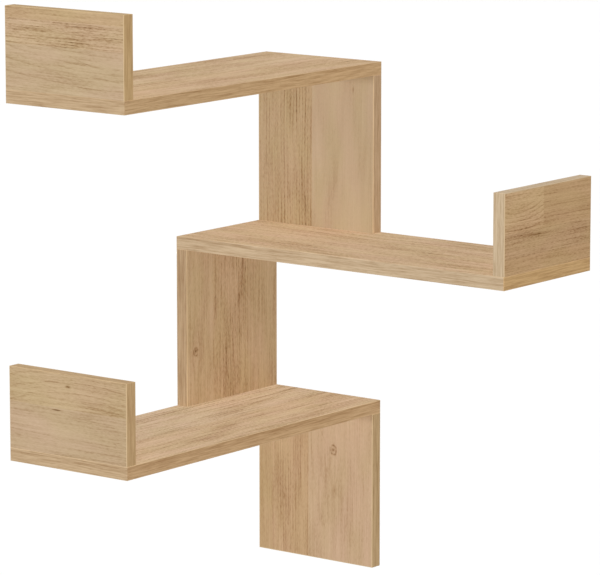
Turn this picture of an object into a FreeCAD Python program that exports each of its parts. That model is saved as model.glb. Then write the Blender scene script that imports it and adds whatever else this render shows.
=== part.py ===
"""Zig-zag corner shelf that hangs in the corner of a room.

Nine boards: three shelves, three uprights between and below them, and a low end panel on each
shelf's free end. Every board is faced particle board with a glued edge band on each edge that
isn't butted against another board. The boards are joined by rows of dowels and cam fittings,
whose cams sit in hidden faces. The uprights hang on screw heads by let-in keyhole plates.

The origin is where the two walls and the lower end of the lowest upright meet. The right wall is
the plane y = 0 and runs along +X, the left wall is the plane x = 0 and runs along -Y, and the room
lies at positive x and negative y.
"""
import FreeCAD, Part
import os
import Sketcher

# Driving dimensions in millimetres: name, value and meaning.
SIZES = [
    ("board_thickness", 18, "thickness of every board"),
    ("board_width", 200, "depth of the shelves, width of the uprights and end panels"),
    ("shelf_length", 545, "length of a shelf, end panel included"),
    ("upright_height", 218, "height of an upright between two shelves"),
    ("end_panel_height", 109, "height of an end panel above its shelf"),
    ("band_thickness", 1, "thickness of the glued edge band"),
    ("arris_radius", 0.5, "rounding of the edge band's outer arrises"),
    ("dowel_inset", 32, "from a board's side to the first dowel of a joint"),
    ("cam_inset", 64, "from a board's side to the first cam fitting of a joint"),
    ("dowel_radius", 4, "radius of a dowel"),
    ("dowel_in_shelf", 10, "length of a dowel inside the shelf"),
    ("dowel_in_end", 20, "length of a dowel inside the end of the other board"),
    ("dowel_chamfer", 1, "chamfer at both ends of a dowel"),
    ("drill_play", 0.1, "room all round a dowel, a thread or a cam in its hole"),
    ("drill_end_play", 1, "room past the end of a dowel or a thread"),
    ("cam_reach", 34, "from the joint to the middle of a cam"),
    ("cam_radius", 7.4, "radius of a cam"),
    ("cam_sink", 0.5, "depth of a cam's top below the board's face"),
    ("cam_half_cavity", 4, "height of a cam's cavity above and below the bolt's axis"),
    ("cam_cavity_radius", 5.2, "radius of the cavity that takes the bolt's head"),
    ("cam_under_play", 0.5, "room between a cam and the floor of its hole"),
    ("cam_slot_half_height", 2.2, "half the height of the slot that the bolt's neck turns in"),
    ("cam_entry_half_width", 3.9, "half the width of the mouth that the bolt's head enters by"),
    ("cross_half_length", 3.4, "half the length of the cross recess in a cam"),
    ("cross_half_width", 0.9, "half the width of an arm of the cross recess in a cam"),
    ("cross_depth", 2.6, "depth of the cross recess in a cam"),
    ("bolt_thread_radius", 2.5, "radius of a cam bolt's thread"),
    ("bolt_thread_length", 11, "length of a cam bolt's thread, all inside the shelf"),
    ("bolt_shank_radius", 3.5, "radius of a cam bolt's shank"),
    ("bolt_shank_length", 25.5, "length of a cam bolt's shank from the joint"),
    ("bolt_neck_radius", 2, "radius of the neck below a cam bolt's head"),
    ("bolt_neck_length", 4.3, "length of the neck below a cam bolt's head"),
    ("bolt_head_radius", 3.4, "radius of a cam bolt's head"),
    ("bolt_head_length", 3.2, "length of a cam bolt's head"),
    ("bolt_tip_length", 1.5, "length of the taper at the end of a cam bolt's thread"),
    ("bolt_tip_inset", 0.75, "how far that taper goes in from the thread's radius"),
    ("bolt_head_chamfer", 0.8, "chamfer round the top of a cam bolt's head"),
    ("bolt_bore_play", 0.5, "room round a cam bolt's shank"),
    ("cap_radius", 8.6, "radius of a cover cap"),
    ("cap_thickness", 1.2, "thickness of a cover cap on the board's face"),
    ("cap_rim_chamfer", 0.5, "bevel round a cover cap's rim"),
    ("cap_prong_radius", 0.8, "radius of the prong that holds a cover cap in its cam"),
    ("cap_prong_length", 2.6, "length of a cover cap's prong"),
    ("hanger_inset", 36, "from an upright's side to the middle of a keyhole plate"),
    ("hanger_drop", 84, "from an upright's top to the middle of a keyhole plate"),
    ("hanger_half_length", 23, "half the length of a keyhole plate"),
    ("hanger_half_width", 8, "half the width of a keyhole plate"),
    ("hanger_thickness", 2, "thickness of a keyhole plate"),
    ("hanger_play", 0.2, "room all round a keyhole plate in its recess"),
    ("keyhole_entry_radius", 4.5, "radius of the hole that takes the wall screw's head"),
    ("keyhole_slot_radius", 2.3, "half the width of the slot that the wall screw's shank rises in"),
    ("keyhole_rise", 9, "from the middle of the entry hole to the end of the slot"),
    ("head_room_radius", 6, "half the width of the hollow behind a keyhole"),
    ("head_room_depth", 10, "depth of the hollow behind a keyhole plate"),
    ("screw_spacing", 36, "distance between the two screws of a keyhole plate"),
    ("screw_shank_radius", 1.75, "radius of a keyhole plate's screw"),
    ("screw_head_radius", 3.4, "radius of the countersunk head of a keyhole plate's screw"),
    ("screw_length", 12, "length of a keyhole plate's screw"),
    ("screw_tip_length", 3, "length of the point of a keyhole plate's screw"),
    ("screw_cross_half_length", 1.7, "half the length of the cross recess in a screw's head"),
    ("screw_cross_half_width", 0.45, "half the width of an arm of the cross recess in a screw's head"),
    ("screw_cross_depth", 1.1, "depth of the cross recess in a screw's head"),
    ("overrun", 1, "how far a cut runs past the face that it starts from"),
]

# A cam's slot runs this far round it, so that the cam can turn from open to locked.
CAM_SLOT_SWEEP_DEGREES = 170
WHOLE_TURN = 360

# Two places count as one when they are nearer than this share of the drill play.
SAME_PLACE_SHARE = 0.01
# A cut has to remove more than this share of a board or fitting.
LEAST_CUT_SHARE = 0.000001

# Turns from a board's own frame (x across its width, y along its length, z through its thickness,
# from the face that shows to the hidden one) to its place on a wall, upright or upside down.
ACROSS = FreeCAD.Vector(1, 0, 0)
ALONG = FreeCAD.Vector(0, 1, 0)
UP = FreeCAD.Vector(0, 0, 1)
FACING_RIGHT_WALL = FreeCAD.Rotation(-ACROSS, UP, ALONG, "XYZ")
FACING_LEFT_WALL = FreeCAD.Rotation(-ALONG, UP, -ACROSS, "XYZ")
UPSIDE_DOWN = FreeCAD.Rotation(UP, 180)
SHELF_ON_LEFT_WALL = FreeCAD.Rotation()
SHELF_ON_RIGHT_WALL = FreeCAD.Rotation(UP, 90)

doc = FreeCAD.newDocument("corner_shelf")
sheet = doc.addObject("Spreadsheet::Sheet", "sizes")
for row, (name, value, meaning) in enumerate(SIZES, start=1):
    sheet.set(f"A{row}", name)
    sheet.set(f"B{row}", str(value))
    sheet.setAlias(f"B{row}", name)
    sheet.set(f"C{row}", meaning)
doc.recompute()

# Expressions that several pieces share.
thickness = "sizes.board_thickness"
middle = "sizes.board_thickness / 2"
length = "sizes.shelf_length"
height = "sizes.upright_height"
band = "sizes.band_thickness"
half_width = "sizes.board_width / 2"
half_core = "(sizes.board_width / 2 - sizes.band_thickness)"
cam_side = "(sizes.board_width / 2 - sizes.cam_inset)"
dowel_side = "(sizes.board_width / 2 - sizes.dowel_inset)"
hanger_side = "(sizes.board_width / 2 - sizes.hanger_inset)"
hanger_centre = "(sizes.upright_height - sizes.hanger_drop)"
hanger_ends = "(sizes.hanger_half_length - sizes.hanger_half_width)"
half_rise = "sizes.keyhole_rise / 2"

# Heights of the boards above the lower end of the lowest upright.
lower_upright_level = "0"
bottom_shelf_level = height
middle_upright_level = f"{bottom_shelf_level} + {thickness}"
middle_shelf_level = f"{middle_upright_level} + {height}"
upper_upright_level = f"{middle_shelf_level} + {thickness}"
top_shelf_level = f"{upper_upright_level} + {height}"
top_end_panel_level = f"{top_shelf_level} + {thickness}"


def worth(expression):
    """Value of an expression over the sheet of sizes."""
    return float(sheet.evalExpression(expression))


def new_body(name):
    """Empty body, in its own frame until it gets its place."""
    body = doc.addObject("PartDesign::Body", name)
    body.Label = name
    return body


def origin_feature(body, role):
    """One of a body's own origin planes or axes."""
    return next(feature for feature in body.Origin.OriginFeatures if feature.Role == role)


def new_sketch(body, name, plane="XY_Plane", **shift):
    """Sketch on one of the body's origin planes, shifted by expressions along its own x, y and z."""
    sketch = body.newObject("Sketcher::SketchObject", name)
    sketch.AttachmentSupport = (origin_feature(body, plane), [""])
    sketch.MapMode = "FlatFace"
    for axis, expression in shift.items():
        sketch.setExpression(f"AttachmentOffset.Base.{axis}", expression)
    return sketch


def hold(sketch, kind, expression, *where):
    """Add a constraint whose value follows an expression."""
    index = sketch.addConstraint(Sketcher.Constraint(kind, *where, worth(expression)))
    sketch.setExpression(f"Constraints[{index}]", expression)


def hold_point(sketch, geometry, end, x, y):
    """Tie one point of a sketch to its two coordinates, given as expressions."""
    for kind, expression, axis in (("DistanceX", x, -2), ("DistanceY", y, -1)):
        if expression == "0":
            sketch.addConstraint(Sketcher.Constraint("PointOnObject", geometry, end, axis))
        else:
            hold(sketch, kind, expression, -1, 1, geometry, end)


def draw_polygon(sketch, corners):
    """Closed outline through corners that are pairs of expressions."""
    first = sketch.GeometryCount
    points = [FreeCAD.Vector(worth(x), worth(y), 0) for x, y in corners]
    for start, end in zip(points, points[1:] + points[:1]):
        sketch.addGeometry(Part.LineSegment(start, end), False)
    last = first + len(corners) - 1
    for index, corner in enumerate(corners, start=first):
        before = last if index == first else index - 1
        sketch.addConstraint(Sketcher.Constraint("Coincident", before, 2, index, 1))
        hold_point(sketch, index, 1, *corner)


def draw_rectangle(sketch, low_x, high_x, low_y, high_y):
    """Rectangle between four coordinates, given as expressions."""
    draw_polygon(sketch, [(low_x, low_y), (high_x, low_y), (high_x, high_y), (low_x, high_y)])


def draw_circle(sketch, x, y, radius):
    """Circle whose centre and radius are expressions."""
    centre = FreeCAD.Vector(worth(x), worth(y), 0)
    index = sketch.addGeometry(Part.Circle(centre, FreeCAD.Vector(0, 0, 1), worth(radius)), False)
    hold_point(sketch, index, 3, x, y)
    hold(sketch, "Radius", radius, index)


def draw_slot(sketch, x, low_y, high_y, radius):
    """Upright slot with round ends, whose end centres and radius are expressions."""
    top = FreeCAD.Vector(worth(x), worth(high_y), 0)
    foot = FreeCAD.Vector(worth(x), worth(low_y), 0)
    side = FreeCAD.Vector(worth(radius), 0, 0)
    first = sketch.GeometryCount
    over = Part.Arc(top + side, top + FreeCAD.Vector(0, side.x, 0), top - side)
    under = Part.Arc(foot - side, foot - FreeCAD.Vector(0, side.x, 0), foot + side)
    for curve in (over, Part.LineSegment(top - side, foot - side), under,
                  Part.LineSegment(foot + side, top + side)):
        sketch.addGeometry(curve, False)
    for index in range(first, first + 4):
        after = first if index == first + 3 else index + 1
        sketch.addConstraint(Sketcher.Constraint("Tangent", index, 2, after, 1))
    hold_point(sketch, first, 3, x, high_y)
    hold_point(sketch, first + 2, 3, x, low_y)
    hold(sketch, "Radius", radius, first)
    sketch.addConstraint(Sketcher.Constraint("Equal", first, first + 2))


def draw_cross(sketch, half_length, half_width):
    """Cross recess round the sketch's origin."""
    far = half_length
    near = half_width
    draw_polygon(sketch, [
        (far, f"-{near}"), (far, near), (near, near), (near, far), (f"-{near}", far), (f"-{near}", near),
        (f"-{far}", near), (f"-{far}", f"-{near}"), (f"-{near}", f"-{near}"), (f"-{near}", f"-{far}"),
        (near, f"-{far}"), (near, f"-{near}")])


def pad(body, name, sketch, depth):
    """Material from a sketch, along its normal."""
    feature = body.newObject("PartDesign::Pad", name)
    feature.Profile = sketch
    feature.setExpression("Length", depth)
    doc.recompute()
    return feature


def check_cut(body, feature, before):
    """A cut that points away from the body removes nothing, so its volume is compared."""
    doc.recompute()
    if feature.Shape.Volume > before * (1 - LEAST_CUT_SHARE):
        raise RuntimeError(f"{body.Label}: {feature.Name} cuts nothing")


def pocket(body, name, sketch, depth, along_normal=False):
    """Cut from a sketch, against its normal unless along_normal is set."""
    before = body.Shape.Volume
    feature = body.newObject("PartDesign::Pocket", name)
    feature.Profile = sketch
    feature.setExpression("Length", depth)
    feature.Reversed = along_normal
    check_cut(body, feature, before)
    return feature


def turn(body, name, sketch):
    """Turned piece: the sketch's profile, right of its own vertical axis, revolved round that axis."""
    feature = body.newObject("PartDesign::Revolution", name)
    feature.Profile = sketch
    feature.ReferenceAxis = (sketch, ["V_Axis"])
    doc.recompute()
    return feature


def turned_cut(body, name, sketch, sweep=WHOLE_TURN):
    """Turned cut round the sketch's own vertical axis, over a whole turn or a part of one."""
    before = body.Shape.Volume
    feature = body.newObject("PartDesign::Groove", name)
    feature.Profile = sketch
    feature.ReferenceAxis = (sketch, ["V_Axis"])
    feature.Angle = sweep
    feature.Reversed = sweep < WHOLE_TURN
    check_cut(body, feature, before)
    return feature


def repeat(body, name, spacing, second_spacing=None):
    """Two of the whole shape along x, or two by two when a spacing along y is given."""
    pattern = body.newObject("PartDesign::LinearPattern", name)
    pattern.TransformMode = "Whole shape"
    pattern.Direction = (origin_feature(body, "X_Axis"), [""])
    pattern.Occurrences = 2
    pattern.setExpression("Length", spacing)
    if second_spacing:
        pattern.Direction2 = (origin_feature(body, "Y_Axis"), [""])
        pattern.Occurrences2 = 2
        pattern.setExpression("Length2", second_spacing)
    body.Tip = pattern
    doc.recompute()


def place(piece, rotation, x, y, z):
    """Turn a piece and tie its place to expressions."""
    piece.Placement = FreeCAD.Placement(FreeCAD.Vector(worth(x), worth(y), worth(z)), rotation)
    for axis, expression in (("x", x), ("y", y), ("z", z)):
        piece.setExpression(f"Placement.Base.{axis}", expression)
    return piece


def group(name, members):
    """One node of several bodies that stay separate solids."""
    compound = doc.addObject("Part::Compound", name)
    compound.Label = name
    compound.Links = members
    doc.recompute()
    return compound


# Edge bands

def on_plane(edge, axis, place_of_plane):
    """True where both ends of an edge lie on the plane axis = place_of_plane."""
    near = worth("sizes.drill_play") * SAME_PLACE_SHARE
    return all(abs(getattr(vertex.Point, axis) - place_of_plane) < near for vertex in edge.Vertexes)


def round_arrises(body, base, chosen):
    """Round the chosen edges of an edge band."""
    feature = body.newObject("PartDesign::Fillet", "arrises")
    names = [f"Edge{index}" for index, edge in enumerate(base.Shape.Edges, start=1) if chosen(edge)]
    feature.Base = (base, names)
    feature.setExpression("Radius", "sizes.arris_radius")
    doc.recompute()


def side_bands(name, board_length):
    """The two strips on a board's long edges, which run its full length."""
    body = new_body(name)
    sketch = new_sketch(body, "strips")
    draw_rectangle(sketch, f"-{half_width}", f"-{half_core}", "0", board_length)
    draw_rectangle(sketch, half_core, half_width, "0", board_length)
    base = pad(body, "band", sketch, thickness)
    outer = worth(half_width)
    round_arrises(body, base, lambda edge: on_plane(edge, "x", outer) or on_plane(edge, "x", -outer))
    return body


def end_bands(name, board_length, at_foot, at_head):
    """The strips on a board's short edges, between its long strips."""
    body = new_body(name)
    sketch = new_sketch(body, "strips")
    outer = []
    if at_foot:
        draw_rectangle(sketch, f"-{half_core}", half_core, "0", band)
        outer.append(0)
    if at_head:
        draw_rectangle(sketch, f"-{half_core}", half_core, f"{board_length} - {band}", board_length)
        outer.append(worth(board_length))
    base = pad(body, "band", sketch, thickness)
    tip = worth(half_core)

    def is_arris(edge):
        outside = any(on_plane(edge, "y", end) for end in outer)
        return outside and not on_plane(edge, "x", tip) and not on_plane(edge, "x", -tip)

    round_arrises(body, base, is_arris)
    return body


def edge_bands(name, board_length, at_foot, at_head):
    """All edge bands of one board, as one node of separate strips."""
    if not (at_foot or at_head):
        return side_bands(name, board_length)
    sides = side_bands(f"{name}_on_sides", board_length)
    ends = end_bands(f"{name}_on_ends", board_length, at_foot, at_head)
    return group(name, [sides, ends])


# Drilling shared by the boards

def draw_pair(sketch, side, across, radius):
    """Two equal circles either side of the board's middle line."""
    draw_circle(sketch, f"-{side}", across, radius)
    draw_circle(sketch, side, across, radius)


def board_core(body, board_length, foot_band, head_band):
    """The board without its edge bands, in its own frame."""
    sketch = new_sketch(body, "outline")
    low = band if foot_band else "0"
    high = f"{board_length} - {band}" if head_band else board_length
    draw_rectangle(sketch, f"-{half_core}", half_core, low, high)
    pad(body, "board", sketch, thickness)


def drill_end(body, end_name, shift, inwards):
    """Bores for dowels and cam bolts in one end of an upright or end panel."""
    bolts = new_sketch(body, f"bolt_bores_{end_name}", "XZ_Plane", z=shift)
    draw_pair(bolts, cam_side, middle, "sizes.bolt_shank_radius + sizes.bolt_bore_play")
    pocket(body, f"bolt_holes_{end_name}", bolts, "sizes.cam_reach", inwards)
    dowels = new_sketch(body, f"dowel_bores_{end_name}", "XZ_Plane", z=shift)
    draw_pair(dowels, dowel_side, middle, "sizes.dowel_radius + sizes.drill_play")
    pocket(body, f"dowel_holes_{end_name}", dowels, "sizes.dowel_in_end + sizes.drill_end_play", inwards)


def bore_cam_seats(body, places):
    """Round seats for the cams, from the board's hidden face."""
    sketch = new_sketch(body, "cam_seats", z=thickness)
    for place_along in places:
        draw_pair(sketch, cam_side, place_along, "sizes.cam_radius + sizes.drill_play")
    depth = f"{middle} + sizes.cam_half_cavity + sizes.cam_under_play"
    pocket(body, "cam_holes", sketch, depth)


def let_in_hangers(body):
    """Recesses for the keyhole plates, hollows for the wall screws' heads and screw holes."""
    plates = new_sketch(body, "hanger_seats", z=thickness)
    rooms = new_sketch(body, "head_rooms", z=thickness)
    screws = new_sketch(body, "screw_places", z=thickness)
    for side in (f"-{hanger_side}", hanger_side):
        draw_slot(plates, side, f"{hanger_centre} - {hanger_ends}", f"{hanger_centre} + {hanger_ends}",
                  "sizes.hanger_half_width + sizes.hanger_play")
        draw_slot(rooms, side, f"{hanger_centre} - {half_rise}", f"{hanger_centre} + {half_rise}",
                  "sizes.head_room_radius")
        for sign in ("-", "+"):
            draw_circle(screws, side, f"{hanger_centre} {sign} sizes.screw_spacing / 2",
                        "sizes.screw_shank_radius + sizes.drill_play")
    pocket(body, "hanger_recesses", plates, "sizes.hanger_thickness")
    pocket(body, "head_hollows", rooms, "sizes.hanger_thickness + sizes.head_room_depth")
    pocket(body, "screw_holes", screws, "sizes.screw_length + sizes.drill_end_play")


def shelf(name, wall_side, has_upright_on_top):
    """Shelf in its own frame: x across, y from its free end to the room's corner, z up.

    wall_side is "-" or "", the sign of the x at which its long edge meets the wall.
    """
    body = new_body(name)
    board_core(body, length, True, True)
    on_wall = f"{wall_side}({half_width} - {middle})"
    along = f"({length} - {half_width})"
    threads = "sizes.bolt_thread_radius + sizes.drill_play"
    pegs = "sizes.dowel_radius + sizes.drill_play"
    for kind, side, radius, depth in (
            ("thread", cam_side, threads, "sizes.bolt_thread_length + sizes.drill_end_play"),
            ("dowel", dowel_side, pegs, "sizes.dowel_in_shelf + sizes.drill_end_play")):
        above = new_sketch(body, f"{kind}_places_above", z=thickness)
        draw_pair(above, side, middle, radius)
        if has_upright_on_top:
            draw_circle(above, on_wall, f"{along} - {side}", radius)
            draw_circle(above, on_wall, f"{along} + {side}", radius)
        pocket(body, f"{kind}_holes_above", above, depth)
        below = new_sketch(body, f"{kind}_places_below")
        draw_pair(below, side, f"{length} - {middle}", radius)
        pocket(body, f"{kind}_holes_below", below, depth, along_normal=True)
    return body


def upright(name, has_foot_joint):
    """Upright in its own frame: x across, y up, z from the face that shows to the wall."""
    body = new_body(name)
    board_core(body, height, not has_foot_joint, False)
    cams = [f"{height} - sizes.cam_reach"]
    drill_end(body, "top", f"-{height}", True)
    if has_foot_joint:
        drill_end(body, "bottom", "0", False)
        cams.append("sizes.cam_reach")
    bore_cam_seats(body, cams)
    let_in_hangers(body)
    return body


def end_panel(name):
    """End panel in its own frame: x across, y up, z from its outer face to its inner one."""
    body = new_body(name)
    board_core(body, "sizes.end_panel_height", False, True)
    drill_end(body, "bottom", "0", False)
    bore_cam_seats(body, ["sizes.cam_reach"])
    return body


# Fittings, in the frame of the joint: x across, y from the shelf into the other board

def dowels(name):
    """Two chamfered wooden dowels."""
    body = new_body(name)
    sketch = new_sketch(body, "profile", x=f"-{dowel_side}", z=middle)
    low = "-sizes.dowel_in_shelf"
    high = "sizes.dowel_in_end"
    outer = "sizes.dowel_radius"
    inner = "(sizes.dowel_radius - sizes.dowel_chamfer)"
    draw_polygon(sketch, [("0", low), (inner, low), (outer, f"{low} + sizes.dowel_chamfer"),
                          (outer, f"{high} - sizes.dowel_chamfer"), (inner, high), ("0", high)])
    turn(body, "dowel", sketch)
    repeat(body, "dowel_pair", f"2 * {dowel_side}")
    return body


def cam_bolts(name):
    """Two cam bolts, screwed into the shelf, with their heads in the cams."""
    body = new_body(name)
    sketch = new_sketch(body, "profile", x=f"-{cam_side}", z=middle)
    thread = "sizes.bolt_thread_radius"
    shank = "sizes.bolt_shank_radius"
    neck = "sizes.bolt_neck_radius"
    head = "sizes.bolt_head_radius"
    low = "-sizes.bolt_thread_length"
    tip = "(sizes.bolt_thread_radius - sizes.bolt_tip_inset)"
    neck_end = "(sizes.bolt_shank_length + sizes.bolt_neck_length)"
    top = "(sizes.bolt_shank_length + sizes.bolt_neck_length + sizes.bolt_head_length)"
    crown = "(sizes.bolt_head_radius - sizes.bolt_head_chamfer)"
    draw_polygon(sketch, [("0", low), (tip, low), (thread, f"{low} + sizes.bolt_tip_length"), (thread, "0"),
                          (shank, "0"), (shank, "sizes.bolt_shank_length"), (neck, "sizes.bolt_shank_length"),
                          (neck, neck_end), (head, neck_end), (head, f"{top} - sizes.bolt_head_chamfer"),
                          (crown, top), ("0", top)])
    turn(body, "bolt", sketch)
    repeat(body, "bolt_pair", f"2 * {cam_side}")
    return body


def cam_locks(name):
    """Two locking cams: each has a roof with a cross recess over a cavity for the bolt's head."""
    body = new_body(name)
    bottom = f"({middle} - sizes.cam_half_cavity)"
    roof = f"({middle} + sizes.cam_half_cavity)"
    top = f"({thickness} - sizes.cam_sink)"
    turned = {"plane": "XZ_Plane", "x": f"-{cam_side}", "z": "-sizes.cam_reach"}
    profile = new_sketch(body, "profile", **turned)
    draw_polygon(profile, [("sizes.cam_cavity_radius", bottom), ("sizes.cam_radius", bottom),
                           ("sizes.cam_radius", top), ("0", top), ("0", roof),
                           ("sizes.cam_cavity_radius", roof)])
    turn(body, "cam", profile)
    slot = new_sketch(body, "neck_slot_profile", **turned)
    draw_rectangle(slot, "sizes.cam_cavity_radius - sizes.overrun", "sizes.cam_radius + sizes.overrun",
                   f"{middle} - sizes.cam_slot_half_height", f"{middle} + sizes.cam_slot_half_height")
    turned_cut(body, "neck_slot", slot, CAM_SLOT_SWEEP_DEGREES)
    mouth = new_sketch(body, "mouth_outline", x=f"-{cam_side}", y="sizes.cam_reach", z=bottom)
    draw_rectangle(mouth, "0", "sizes.cam_radius + sizes.overrun",
                   "-sizes.cam_entry_half_width", "sizes.cam_entry_half_width")
    pocket(body, "mouth", mouth, "sizes.cam_half_cavity + sizes.cam_entry_half_width", along_normal=True)
    cross = new_sketch(body, "cross_outline", x=f"-{cam_side}", y="sizes.cam_reach", z=top)
    draw_cross(cross, "sizes.cross_half_length", "sizes.cross_half_width")
    pocket(body, "cross_recess", cross, "sizes.cross_depth")
    repeat(body, "cam_pair", f"2 * {cam_side}")
    return body


def cover_caps(name):
    """Two caps over an end panel's cams, each held by a prong in the cam's cross recess."""
    body = new_body(name)
    sketch = new_sketch(body, "profile", "XZ_Plane", x=f"-{cam_side}", z="-sizes.cam_reach")
    prong = f"{thickness} - sizes.cap_prong_length"
    top = f"{thickness} + sizes.cap_thickness"
    pin = "sizes.cap_prong_radius"
    rim = "sizes.cap_radius"
    draw_polygon(sketch, [("0", prong), (pin, prong), (pin, thickness), (rim, thickness),
                          (rim, f"{top} - sizes.cap_rim_chamfer"), (f"{rim} - sizes.cap_rim_chamfer", top),
                          ("0", top)])
    turn(body, "cap", sketch)
    repeat(body, "cap_pair", f"2 * {cam_side}")
    return body


# Hangers, in the frame of their upright

def hanger_plates(name):
    """Two keyhole plates, let in flush with the wall side of an upright."""
    body = new_body(name)
    at = {"x": f"-{hanger_side}", "y": hanger_centre}
    under = f"({thickness} - sizes.hanger_thickness)"
    outline = new_sketch(body, "outline", z=under, **at)
    draw_slot(outline, "0", f"-{hanger_ends}", hanger_ends, "sizes.hanger_half_width")
    pad(body, "plate", outline, "sizes.hanger_thickness")
    entry = new_sketch(body, "entry_outline", z=thickness, **at)
    draw_circle(entry, "0", f"-{half_rise}", "sizes.keyhole_entry_radius")
    pocket(body, "entry", entry, "sizes.hanger_thickness")
    slot = new_sketch(body, "slot_outline", z=thickness, **at)
    draw_slot(slot, "0", f"-{half_rise}", half_rise, "sizes.keyhole_slot_radius")
    pocket(body, "slot", slot, "sizes.hanger_thickness")
    hole = "sizes.screw_shank_radius + sizes.drill_play"
    mouth = "sizes.screw_head_radius + sizes.drill_play"
    cone_foot = f"{thickness} - (sizes.screw_head_radius - sizes.screw_shank_radius)"
    past = f"{thickness} + sizes.overrun"
    for sign, where in (("-", "lower"), ("+", "upper")):
        # Sketches on this plane run x to the right and z up, and shift along minus y.
        along = f"-({hanger_centre} {sign} sizes.screw_spacing / 2)"
        sink = new_sketch(body, f"{where}_hole_profile", "XZ_Plane", x=at["x"], z=along)
        draw_polygon(sink, [("0", f"{under} - sizes.overrun"), (hole, f"{under} - sizes.overrun"),
                            (hole, cone_foot), (mouth, thickness), (mouth, past), ("0", past)])
        turned_cut(body, f"{where}_hole", sink)
    repeat(body, "plate_pair", f"2 * {hanger_side}")
    return body


def hanger_screws(name):
    """Four countersunk wood screws that hold the two keyhole plates of an upright."""
    body = new_body(name)
    along = f"({hanger_centre} - sizes.screw_spacing / 2)"
    profile = new_sketch(body, "profile", "XZ_Plane", x=f"-{hanger_side}", z=f"-{along}")
    shank = "sizes.screw_shank_radius"
    head = "sizes.screw_head_radius"
    tip = f"{thickness} - sizes.screw_length"
    draw_polygon(profile, [("0", tip), (shank, f"{tip} + sizes.screw_tip_length"),
                           (shank, f"{thickness} - ({head} - {shank})"), (head, thickness), ("0", thickness)])
    turn(body, "screw", profile)
    cross = new_sketch(body, "cross_outline", x=f"-{hanger_side}", y=along, z=thickness)
    draw_cross(cross, "sizes.screw_cross_half_length", "sizes.screw_cross_half_width")
    pocket(body, "cross_recess", cross, "sizes.screw_cross_depth")
    repeat(body, "screws", f"2 * {hanger_side}", "sizes.screw_spacing")
    return body


# Places of the boards: each is a rotation and the place of its own origin.

PLACES = {
    "lower_upright": (FACING_RIGHT_WALL, half_width, f"-{thickness}", lower_upright_level),
    "middle_upright": (FACING_LEFT_WALL, thickness, f"-{half_width}", middle_upright_level),
    "upper_upright": (FACING_RIGHT_WALL, half_width, f"-{thickness}", upper_upright_level),
    "bottom_shelf": (SHELF_ON_LEFT_WALL, half_width, f"-{length}", bottom_shelf_level),
    "middle_shelf": (SHELF_ON_RIGHT_WALL, length, f"-{half_width}", middle_shelf_level),
    "top_shelf": (SHELF_ON_LEFT_WALL, half_width, f"-{length}", top_shelf_level),
    "bottom_end_panel": (FACING_RIGHT_WALL, half_width, f"-{length}", middle_upright_level),
    "middle_end_panel": (FACING_LEFT_WALL, length, f"-{half_width}", upper_upright_level),
    "top_end_panel": (FACING_RIGHT_WALL, half_width, f"-{length}", top_end_panel_level),
}


def head_place(board):
    """Place of the joint at an upright's top: its frame is the board's, turned upside down."""
    rotation, x, y, z = PLACES[board]
    return rotation.multiply(UPSIDE_DOWN), x, y, f"{z} + {height}"


nodes = []

for board in ("bottom_shelf", "middle_shelf", "top_shelf"):
    wall_side = "" if board == "middle_shelf" else "-"
    nodes.append(place(shelf(board, wall_side, board != "top_shelf"), *PLACES[board]))
    nodes.append(place(edge_bands(f"{board}_edge_bands", length, True, True), *PLACES[board]))

for board in ("lower_upright", "middle_upright", "upper_upright"):
    has_foot_joint = board != "lower_upright"
    nodes.append(place(upright(board, has_foot_joint), *PLACES[board]))
    nodes.append(place(edge_bands(f"{board}_edge_bands", height, not has_foot_joint, False), *PLACES[board]))
    nodes.append(place(hanger_plates(f"{board}_hanger_plates"), *PLACES[board]))
    nodes.append(place(hanger_screws(f"{board}_hanger_screws"), *PLACES[board]))

for board in ("bottom_end_panel", "middle_end_panel", "top_end_panel"):
    nodes.append(place(end_panel(board), *PLACES[board]))
    bands = edge_bands(f"{board}_edge_bands", "sizes.end_panel_height", False, True)
    nodes.append(place(bands, *PLACES[board]))
    nodes.append(place(cover_caps(f"{board}_cover_caps"), *PLACES[board]))

JOINTS = {
    "lower_upright_top": head_place("lower_upright"),
    "middle_upright_bottom": PLACES["middle_upright"],
    "middle_upright_top": head_place("middle_upright"),
    "upper_upright_bottom": PLACES["upper_upright"],
    "upper_upright_top": head_place("upper_upright"),
    "bottom_end_panel": PLACES["bottom_end_panel"],
    "middle_end_panel": PLACES["middle_end_panel"],
    "top_end_panel": PLACES["top_end_panel"],
}
for joint, spot in JOINTS.items():
    nodes.append(place(cam_locks(f"{joint}_cam_locks"), *spot))
    nodes.append(place(cam_bolts(f"{joint}_cam_bolts"), *spot))
    nodes.append(place(dowels(f"{joint}_dowels"), *spot))

doc.recompute()

failed = [item.Label for item in doc.Objects if {"Invalid", "Error"} & set(item.State)]
if failed:
    raise RuntimeError(f"these objects failed to build: {failed}")
broken = [node.Label for node in nodes if node.Shape.isNull() or not node.Shape.isValid()]
if broken:
    raise RuntimeError(f"these pieces have no valid shape: {broken}")

os.makedirs("parts", exist_ok=True)
for node in nodes:
    node.Shape.exportStep(f"parts/{node.Label}.step")
print(len(nodes), "pieces written,", sum(len(node.Shape.Solids) for node in nodes), "solids")
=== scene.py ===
"""Looks of a zig-zag corner shelf in light oak-faced board, hung where two walls of a room meet.

Boards, edge bands, cams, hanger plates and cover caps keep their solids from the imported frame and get
their materials here. Cam bolts, dowels and hanger screws are made again in the places of their solids,
with threads, crosses and flutes.
"""
import math
from collections import namedtuple
from functools import partial

import bmesh
import bpy
from bpy.props import FloatProperty, FloatVectorProperty, IntProperty, PointerProperty, StringProperty
from bpy.types import Operator, Panel, PropertyGroup
from mathutils import Matrix, Vector


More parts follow.
